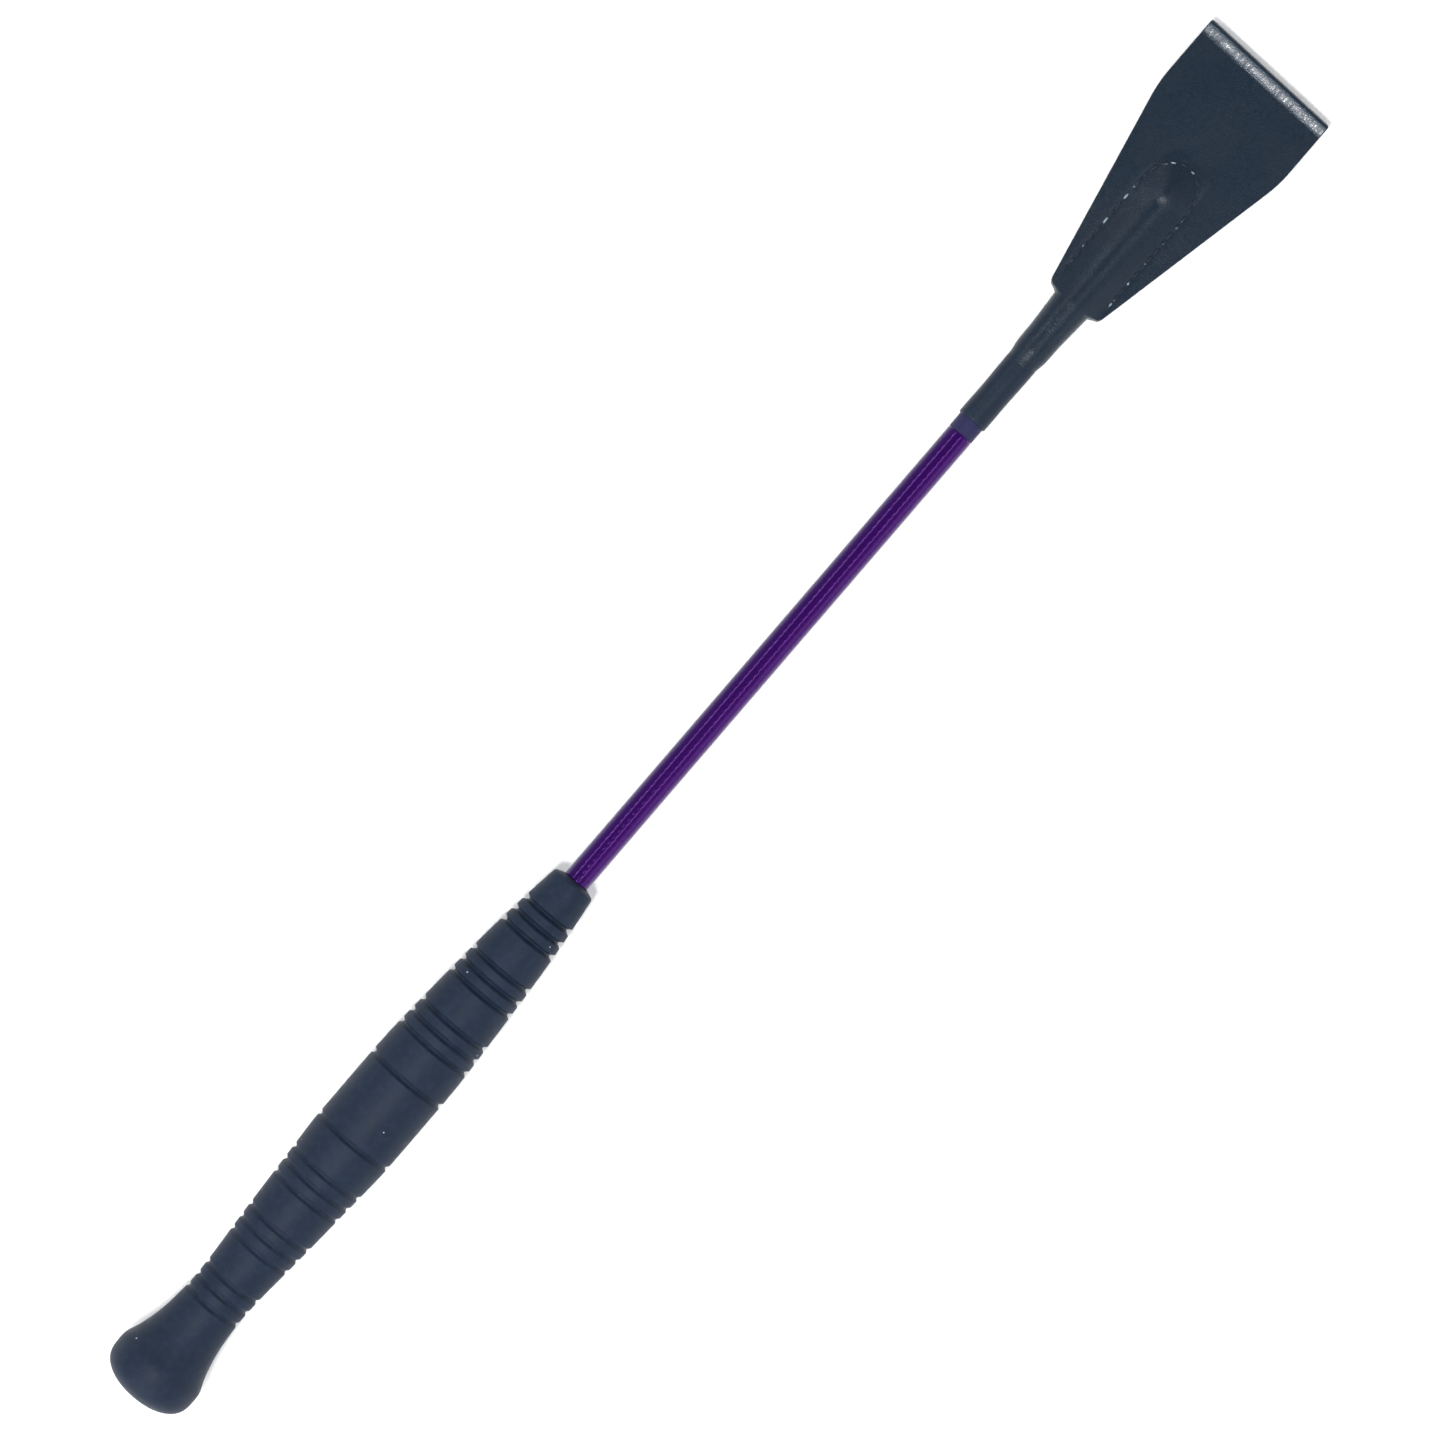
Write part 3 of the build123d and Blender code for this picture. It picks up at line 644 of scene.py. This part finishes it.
seam = put_mesh("seam_stitches", skew(stitch_points).reshape(-1, 3), seam_faces)
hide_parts("seam_thread")
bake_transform(seam)
print(stitches, "stitches a side along", round(seam_length, 1), "mm of seam")

# %% [markdown]
# ## Finishes
# Each material is named for what it is and how its surface was made. Colours are the hex values a
# designer would note down, turned to linear light by one function. Pattern sizes are real sizes: a
# texture's scale is 1 / size in metres, because the model is in metres.

# %% Small helpers for materials


def linear(hex_colour):
    """sRGB hex to linear RGBA: c / 12.92 below 0.04045, else ((c + 0.055) / 1.055) ^ 2.4."""
    c = np.array([int(hex_colour[i : i + 2], 16) / 255 for i in (1, 3, 5)])
    c = np.where(c <= 0.04045, c / 12.92, ((c + 0.055) / 1.055) ** 2.4)
    return (*c.tolist(), 1.0)


def node(tree, kind, inputs=None, **settings):
    """Adds one node. settings are its own choices; inputs are numbers, colours or sockets to link from."""
    made = tree.nodes.new(kind)
    for name, value in settings.items():
        setattr(made, name, value)
    for name, value in (inputs or {}).items():
        if isinstance(value, bpy.types.NodeSocket):
            tree.links.new(value, made.inputs[name])
        else:
            made.inputs[name].default_value = value
    return made


def new_material(name, **shader):
    """A node material with one Principled shader, its constant values set on the shader's own sockets."""
    material = bpy.data.materials.new(name)
    material.use_nodes = True
    tree = material.node_tree
    tree.nodes.clear()
    surface = node(tree, "ShaderNodeBsdfPrincipled", {k.replace("_", " "): v for k, v in shader.items()})
    node(tree, "ShaderNodeOutputMaterial", {"Surface": surface.outputs[0]})
    return material, tree, surface


def wear_finish(piece, material):
    """Puts the material on a piece; a CAD node keeps its slots and takes it in each of them."""
    if not piece.data.materials:
        piece.data.materials.append(material)
    for n in range(len(piece.data.materials)):
        piece.data.materials[n] = material


def per_mm(size):
    """Texture scale for a feature of this size in millimetres."""
    return 1 / (size * MM)


# %% [markdown]
# ### Moulded rubber
# Natural rubber from a sand-blasted mould: matt, dark slate, with a very fine pebble. Handling leaves
# slightly greyer high spots and the odd speck of dust that the rubber holds on to.

# %% Rubber
rubber, tree, surface = new_material("compression_moulded_rubber", IOR=1.52, Specular_IOR_Level=0.12)
place = node(tree, "ShaderNodeTexCoord").outputs["Object"]
cloudy = node(tree, "ShaderNodeTexNoise", {
    "Vector": place, "Scale": per_mm(16), "Detail": 4.0, "Roughness": 0.55})
mottle = node(tree, "ShaderNodeTexNoise", {"Vector": place, "Scale": per_mm(2.2), "Detail": 3.0})
tone = node(tree, "ShaderNodeMix", {
    0: cloudy.outputs["Fac"], 6: linear("#141e2d"), 7: linear("#1a2535")}, data_type="RGBA")
fleck = node(tree, "ShaderNodeMapRange", {0: mottle.outputs["Fac"], 1: 0.45, 2: 0.75, 3: 0.0, 4: 0.45})
flecked = node(tree, "ShaderNodeMix", {
    0: fleck.outputs[0], 6: tone.outputs[2], 7: linear("#222f42")}, data_type="RGBA")
dust_cells = node(tree, "ShaderNodeTexVoronoi", {"Vector": place, "Scale": per_mm(7.5)})
dust = node(tree, "ShaderNodeMath", {0: dust_cells.outputs["Distance"], 1: 0.035}, operation="LESS_THAN")
dusty = node(tree, "ShaderNodeMix", {
    0: dust.outputs[0], 6: flecked.outputs[2], 7: linear("#93a3ad")}, data_type="RGBA")
tree.links.new(dusty.outputs[2], surface.inputs["Base Color"])
rough = node(tree, "ShaderNodeMapRange", {0: mottle.outputs["Fac"], 1: 0.3, 2: 0.7, 3: 0.48, 4: 0.60})
tree.links.new(rough.outputs[0], surface.inputs["Roughness"])
pebble = node(tree, "ShaderNodeTexNoise", {
    "Vector": place, "Scale": per_mm(0.55), "Detail": 3.0, "Roughness": 0.6})
skin_bump = node(tree, "ShaderNodeBump", {
    "Height": pebble.outputs["Fac"], "Strength": 0.30, "Distance": 0.12 * MM})
soft_bump = node(tree, "ShaderNodeBump", {
    "Height": cloudy.outputs["Fac"], "Strength": 0.4, "Distance": 0.5 * MM, "Normal": skin_bump.outputs[0]})
tree.links.new(soft_bump.outputs[0], surface.inputs["Normal"])
wear_finish(grip_rubber, rubber)

# %% [markdown]
# ### Lacquered braid
# Rayon thread, dyed purple, under clear lacquer. The dye tints the reflections too, so the highlights
# are violet, which the specular tint gives, and the lacquer's own sharp white shine is faint. One flank
# of the shaft is painted darker, as painted shade. The pattern follows the tape map: millimetres along,
# turns round.

# %% Lacquered braid
lacquer, tree, surface = new_material(
    "lacquered_rayon_braid", IOR=1.5, Coat_Weight=0.03, Coat_Roughness=0.10, Coat_IOR=1.5,
    Specular_IOR_Level=0.46, Specular_Tint=(0.54, 0.22, 1.0, 1.0))
tape = node(tree, "ShaderNodeUVMap", uv_map="tape")
split = node(tree, "ShaderNodeSeparateXYZ", {0: tape.outputs[0]})
round_angle = node(tree, "ShaderNodeMath", {0: split.outputs[1], 1: 2 * math.pi}, operation="MULTIPLY")
side = node(tree, "ShaderNodeMath", {0: round_angle.outputs[0]}, operation="COSINE")
shaded_flank_share = node(tree, "ShaderNodeMapRange", {0: side.outputs[0], 1: -0.9, 2: 0.9, 3: 0.0, 4: 1.0})
thread_phase = node(tree, "ShaderNodeCombineXYZ", {0: split.outputs[0], 1: round_angle.outputs[0]})
filaments = node(tree, "ShaderNodeTexNoise", {
    "Vector": thread_phase.outputs[0], "Scale": 1.4, "Detail": 4.0, "Roughness": 0.65})
place = node(tree, "ShaderNodeTexCoord").outputs["Object"]
fine = node(tree, "ShaderNodeTexNoise", {"Vector": place, "Scale": per_mm(0.7), "Detail": 3.0})
# painted shade: the base colour darkens towards the shaft's +Y flank, following the cosine of the angle
# round it
dye = node(tree, "ShaderNodeMix", {
    0: shaded_flank_share.outputs[0], 6: linear("#380a56"), 7: linear("#1e0640")}, data_type="RGBA")
deep = node(tree, "ShaderNodeMapRange", {0: filaments.outputs["Fac"], 1: 0.3, 2: 0.7, 3: 0.0, 4: 0.55})
dyed = node(tree, "ShaderNodeMix", {
    0: deep.outputs[0], 6: dye.outputs[2], 7: linear("#190634")}, data_type="RGBA")
tree.links.new(dyed.outputs[2], surface.inputs["Base Color"])
gloss = node(tree, "ShaderNodeMapRange", {0: fine.outputs["Fac"], 1: 0.3, 2: 0.7, 3: 0.07, 4: 0.17})
tree.links.new(gloss.outputs[0], surface.inputs["Roughness"])
thread_bump = node(tree, "ShaderNodeBump", {
    "Height": fine.outputs["Fac"], "Strength": 0.25, "Distance": 0.06 * MM})
tree.links.new(thread_bump.outputs[0], surface.inputs["Normal"])
tree.links.new(thread_bump.outputs[0], surface.inputs["Coat Normal"])
wear_finish(shaft_braid, lacquer)

# %% [markdown]
# ### Leather
# Bridle leather is dyed through, waxed and rolled, so its grain is fine and lies flat: small cells, a
# few hairline creases, a soft waxy shine that breaks up in patches. Where it is folded the grain is
# stretched flat and rubbed, so the fold is glossier and is painted paler, partly as wear and partly as a
# painted highlight, with a ragged edge.

# %% Leather, a finish shared by the flapper and the neck with different shine


def leather(name, light, dark, grain_mm, shine, level, fold=None):
    """Waxed leather: cells for the grain, slow noise for uneven dye and wax. fold names the stations between
    which the leather was folded and rubbed, glossier there and painted paler as wear and as a painted
    highlight.
    This starts where station + 3.6 * noise passes a limit, so its edge is ragged, and the same noise breaks
    up its gloss."""
    material, tree, surface = new_material(name, IOR=1.48, Specular_IOR_Level=level)
    place = node(tree, "ShaderNodeTexCoord").outputs["Object"]
    bent = node(tree, "ShaderNodeTexNoise", {"Vector": place, "Scale": per_mm(5), "Detail": 2.0})
    warp = node(tree, "ShaderNodeVectorMath", {
        0: bent.outputs["Color"], 1: (0.0006,) * 3}, operation="MULTIPLY")
    moved = node(tree, "ShaderNodeVectorMath", {0: place, 1: warp.outputs[0]}, operation="ADD")
    cells = node(tree, "ShaderNodeTexVoronoi", {
        "Vector": moved.outputs[0], "Scale": per_mm(grain_mm)}, feature="DISTANCE_TO_EDGE")
    crease = node(tree, "ShaderNodeMapRange", {
        0: cells.outputs["Distance"], 1: 0.0, 2: 0.22, 3: 0.0, 4: 1.0})
    pores = node(tree, "ShaderNodeTexNoise", {"Vector": place, "Scale": per_mm(0.35), "Detail": 3.0})
    uneven = node(tree, "ShaderNodeTexNoise", {
        "Vector": place, "Scale": per_mm(13), "Detail": 4.0, "Roughness": 0.6})
    dye = node(tree, "ShaderNodeMix", {
        0: uneven.outputs["Fac"], 6: linear(dark), 7: linear(light)}, data_type="RGBA")
    # painted shade: the base colour is darkened to 0.78 in the grain's creases
    shade = node(tree, "ShaderNodeMapRange", {0: crease.outputs[0], 1: 0.0, 2: 1.0, 3: 0.78, 4: 1.0})
    crease_shaded_dye = node(tree, "ShaderNodeMix", {
        0: 1.0, 6: dye.outputs[2], 7: shade.outputs[0]}, data_type="RGBA", blend_type="MULTIPLY")
    tree.links.new(crease_shaded_dye.outputs[2], surface.inputs["Base Color"])
    wax = node(tree, "ShaderNodeMapRange", {
        0: uneven.outputs["Fac"], 1: 0.3, 2: 0.7, 3: shine + 0.06, 4: shine - 0.05})
    tree.links.new(wax.outputs[0], surface.inputs["Roughness"])
    if fold is not None:
        tape = node(tree, "ShaderNodeUVMap", uv_map="tape")
        station = node(tree, "ShaderNodeSeparateXYZ", {0: tape.outputs[0]})
        drawn = node(tree, "ShaderNodeMapping", {0: place, "Scale": (0.3, 1.0, 1.0)})
        tears = node(tree, "ShaderNodeTexNoise", {
            "Vector": drawn.outputs[0], "Scale": per_mm(0.8), "Detail": 3.0})
        glint = node(tree, "ShaderNodeMapRange", {
            0: tears.outputs["Fac"], 1: 0.35, 2: 0.65, 3: 0.34, 4: 0.16})
        ragged = node(tree, "ShaderNodeMath", {
            0: tears.outputs["Fac"], 1: 3.6, 2: station.outputs[0]}, operation="MULTIPLY_ADD")
        begun = node(tree, "ShaderNodeMapRange", {
            0: ragged.outputs[0], 1: fold[0] + 1.9, 2: fold[0] + 2.5, 3: 0.0, 4: 1.0})
        ended = node(tree, "ShaderNodeMapRange", {
            0: station.outputs[0], 1: fold[1] - 0.3, 2: fold[1] + 0.2, 3: 1.0, 4: 0.0})
        rubbed_and_highlight = node(tree, "ShaderNodeMath", {
            0: begun.outputs[0], 1: ended.outputs[0]}, operation="MULTIPLY")
        # painted highlight: the rubbed stretch before the fold's crest is painted paler (#2c3845), partly
        # wear and partly standing for the fold's bright shine
        paler_worn_and_highlight = node(tree, "ShaderNodeMix", {
            0: rubbed_and_highlight.outputs[0], 6: crease_shaded_dye.outputs[2], 7: linear("#2c3845")}, data_type="RGBA")
        shinier = node(tree, "ShaderNodeMix", {
            0: rubbed_and_highlight.outputs[0], 2: wax.outputs[0], 3: glint.outputs[0]}, data_type="FLOAT")
        tree.links.new(paler_worn_and_highlight.outputs[2], surface.inputs["Base Color"])
        tree.links.new(shinier.outputs[0], surface.inputs["Roughness"])
    grain = node(tree, "ShaderNodeBump", {
        "Height": crease.outputs[0], "Strength": 0.28, "Distance": 0.10 * MM})
    rough = node(tree, "ShaderNodeBump", {
        "Height": pores.outputs["Fac"], "Strength": 0.3, "Distance": 0.07 * MM, "Normal": grain.outputs[0]})
    if fold is not None:
        for bump in (grain, rough):
            worn = node(tree, "ShaderNodeMapRange", {0: rubbed_and_highlight.outputs[0], 3: 0.28, 4: 0.10})
            tree.links.new(worn.outputs[0], bump.inputs["Strength"])
    tree.links.new(rough.outputs[0], surface.inputs["Normal"])
    return material


bridle = leather("waxed_bridle_leather", "#1b2937", "#15202c", 0.9, 0.30, 0.20, (FOLD_START, FOLD_CREST))
wear_finish(flapper, bridle)
wear_finish(neck_leather, leather("skived_glued_leather", "#1a2838", "#141f2d", 0.7, 0.38, 0.18))

# %% [markdown]
# ### Thread
# Waxed linen and polyester thread: two or three plies twisted together, so fine diagonal lines cross
# it, with a dull sheen from the wax.

# %% Threads


def waxed_thread(name, colour, highlight, ply_mm, painted_glint_colour=None):
    """Twisted thread: a slanting wave for the plies, painted shade in the hollows between them and a painted
    highlight on their tops. The last argument is the colour of light dots painted as glints, every
    centimetre or so."""
    material, tree, surface = new_material(name, IOR=1.5, Specular_IOR_Level=0.2)
    place = node(tree, "ShaderNodeTexCoord").outputs["Object"]
    slant = node(tree, "ShaderNodeMapping", {0: place, "Rotation": (0.0, 0.0, math.radians(38))})
    plies = node(tree, "ShaderNodeTexWave", {
        "Vector": slant.outputs[0], "Scale": per_mm(ply_mm) / math.pi, "Distortion": 0.6})
    fuzz = node(tree, "ShaderNodeTexNoise", {"Vector": place, "Scale": per_mm(0.25), "Detail": 2.0})
    # painted shade and painted highlight: the plies' wave darkens the hollows and lightens the ply tops
    dye = node(tree, "ShaderNodeMix", {
        0: plies.outputs["Fac"], 6: linear(colour), 7: linear(highlight)}, data_type="RGBA")
    tree.links.new(dye.outputs[2], surface.inputs["Base Color"])
    if painted_glint_colour is not None:
        # painted highlight: light dots of this colour stand for glints on the thread
        glint_noise = node(tree, "ShaderNodeTexNoise", {"Vector": place, "Scale": per_mm(3.0), "Detail": 1.0})
        glint_spots = node(tree, "ShaderNodeMapRange", {0: glint_noise.outputs["Fac"], 1: 0.60, 2: 0.66, 3: 0.0, 4: 1.0})
        glint_dotted = node(tree, "ShaderNodeMix", {
            0: glint_spots.outputs[0], 6: dye.outputs[2], 7: linear(painted_glint_colour)}, data_type="RGBA")
        tree.links.new(glint_dotted.outputs[2], surface.inputs["Base Color"])
    rough = node(tree, "ShaderNodeMapRange", {0: fuzz.outputs["Fac"], 1: 0.3, 2: 0.7, 3: 0.42, 4: 0.62})
    tree.links.new(rough.outputs[0], surface.inputs["Roughness"])
    twist = node(tree, "ShaderNodeBump", {
        "Height": plies.outputs["Fac"], "Strength": 0.5, "Distance": 0.08 * MM})
    tree.links.new(twist.outputs[0], surface.inputs["Normal"])
    return material


wear_finish(tip_whipping, waxed_thread("waxed_whipping_thread", "#191938", "#2a2952", 0.3))
# the sewing thread's light #7f8f9b dots are painted glints
wear_finish(seam, waxed_thread("waxed_sewing_thread", "#17212c", "#222e3a", 0.45, "#7f8f9b"))
wear_finish(frame["nodes"]["mouth_whipping"], waxed_thread("waxed_mouth_thread", "#23252f", "#353744", 0.3))

# %% [markdown]
# ### What is hidden inside
# The rod, the handle's core and the cap never show on a whole crop, but a cutaway or an opened model
# would show them, so they get their real finishes too.

# %% Glass fibre, nylon and soft plastic


def inner_finish(name, light, dark, streak, roughness, bump_mm):
    """Streaks drawn out along the crop: noise whose place is shortened along X by the streak factor."""
    material, tree, surface = new_material(name, IOR=1.5)
    place = node(tree, "ShaderNodeTexCoord").outputs["Object"]
    drawn = node(tree, "ShaderNodeMapping", {0: place, "Scale": (1 / streak, 1.0, 1.0)})
    noise = node(tree, "ShaderNodeTexNoise", {
        "Vector": drawn.outputs[0], "Scale": per_mm(0.8), "Detail": 4.0})
    colour = node(tree, "ShaderNodeMix", {
        0: noise.outputs["Fac"], 6: linear(dark), 7: linear(light)}, data_type="RGBA")
    tree.links.new(colour.outputs[2], surface.inputs["Base Color"])
    rough = node(tree, "ShaderNodeMapRange", {
        0: noise.outputs["Fac"], 1: 0.3, 2: 0.7, 3: roughness - 0.06, 4: roughness + 0.06})
    tree.links.new(rough.outputs[0], surface.inputs["Roughness"])
    bump = node(tree, "ShaderNodeBump", {
        "Height": noise.outputs["Fac"], "Strength": 0.3, "Distance": bump_mm * MM})
    tree.links.new(bump.outputs[0], surface.inputs["Normal"])
    return material


wear_finish(glass_rod, inner_finish("pultruded_glass_fibre", "#cfcdb4", "#a9a88c", 30.0, 0.35, 0.05))
nylon = inner_finish("moulded_nylon", "#b9b7ac", "#a19f94", 1.0, 0.5, 0.08)
wear_finish(frame["nodes"]["handle_core"], nylon)
dipped = inner_finish("dipped_soft_plastic", "#26282b", "#1a1b1d", 1.0, 0.45, 0.08)
wear_finish(frame["nodes"]["rod_tip_cap"], dipped)

# %% [markdown]
# ## The studio
# A pale sheet under the crop, and a room that is bright at the horizon and dim overhead, so that dark
# rubber and leather stay dark. Two long narrow lamps beside the crop draw the fine streaks along the
# lacquer, two boxes fill in, and one small lamp is placed where the rise to the fold mirrors it. The
# camera looks straight down at the crop, turned so that it lies from corner to corner, tip upwards.

# %% Floor
FLOOR_HALF = 3.0        # metres
floor_mesh = bpy.data.meshes.new("studio_floor")
corners = [(x * FLOOR_HALF, y * FLOOR_HALF, 0) for x, y in ((-1, -1), (1, -1), (1, 1), (-1, 1))]
floor_mesh.from_pydata(corners, [], [(0, 1, 2, 3)])
floor = bpy.data.objects.new("studio_floor", floor_mesh)
bpy.context.scene.collection.objects.link(floor)
paper, tree, surface = new_material("matt_white_paper", Roughness=0.9, IOR=1.3)
surface.inputs["Base Color"].default_value = linear("#fbfbfb")
floor_mesh.materials.append(paper)

# %% Camera
VIEW_TURN = 49.324                      # degrees from the frame's horizontal to the crop's axis
VIEW_STATION, VIEW_ACROSS = 255.8, -2.15    # the point the camera looks at, in crop millimetres
VIEW_DISTANCE, VIEW_WIDTH = 1.3, 0.4137     # metres, the width being what the frame takes in there
SENSOR = 36.0                           # millimetres
turned_by = math.radians(VIEW_TURN)
right = Vector(math.cos(turned_by) * along - math.sin(turned_by) * across)
up = Vector(math.sin(turned_by) * along + math.cos(turned_by) * across)
back = Vector(upward)
camera_data = bpy.data.cameras.new("camera")
camera_data.sensor_width = SENSOR
camera_data.lens = SENSOR * VIEW_DISTANCE / VIEW_WIDTH
camera_data.clip_start, camera_data.clip_end = 0.05, 20
camera = bpy.data.objects.new("camera", camera_data)
bpy.context.scene.collection.objects.link(camera)
aim = Vector(lay((VIEW_STATION, VIEW_ACROSS, 0.0)))
facing_down = Matrix((right, up, back)).transposed().to_4x4()
camera.matrix_world = Matrix.Translation(aim + back * VIEW_DISTANCE) @ facing_down
bpy.context.scene.camera = camera

# %% Lights


def soft_box(name, place, size, power):
    """A rectangular white lamp at a place, turned to face the crop's middle. Sizes in metres, watts."""
    lamp = bpy.data.lights.new(name, "AREA")
    lamp.shape = "RECTANGLE"
    lamp.size, lamp.size_y = size
    lamp.energy = power
    made = bpy.data.objects.new(name, lamp)
    bpy.context.scene.collection.objects.link(made)
    made.location = place
    made.rotation_mode = "QUATERNION"
    made.rotation_quaternion = Vector(place).to_track_quat("Z", "Y")


def around_crop(towards_y, towards_x, distance):
    """A place at this distance, leaned over by these angles in degrees towards +Y and +X."""
    y, x = math.tan(math.radians(towards_y)), math.tan(math.radians(towards_x))
    return tuple(distance * np.array([x, y, 1.0]) / math.sqrt(1 + x * x + y * y))


soft_box("left_strip", around_crop(38, 0, 1.6), (2.2, 0.18), 9.0)
soft_box("right_strip", around_crop(-20, 0, 1.6), (2.2, 0.16), 8.0)
soft_box("right_fill", around_crop(-66, 8, 1.9), (2.0, 0.8), 6.0)
soft_box("butt_box", around_crop(0, -60, 1.9), (1.2, 0.7), 19.0)
soft_box("fold_lamp", around_crop(0, -13, 1.52), (0.18, 0.18), 14.0)

# %% The room
ZENITH, HORIZON = 0.05, 0.80            # brightness overhead and at eye level, mixed by height squared
world = bpy.data.worlds.new("pale_room")
world.use_nodes = True
room = world.node_tree
background = room.nodes["Background"]
background.inputs[0].default_value = linear("#eef1f5")
facing = node(room, "ShaderNodeTexCoord").outputs["Generated"]
height_of = node(room, "ShaderNodeSeparateXYZ", {0: facing})
level = node(room, "ShaderNodeMath", {
    0: height_of.outputs[2], 1: height_of.outputs[2]}, operation="MULTIPLY")
glow = node(room, "ShaderNodeMapRange", {0: level.outputs[0], 1: 0.0, 2: 1.0, 3: HORIZON, 4: ZENITH})
room.links.new(glow.outputs[0], background.inputs[1])
bpy.context.scene.world = world
bpy.context.scene.view_settings.view_transform = "Standard"
bpy.context.scene.view_settings.look = "None"
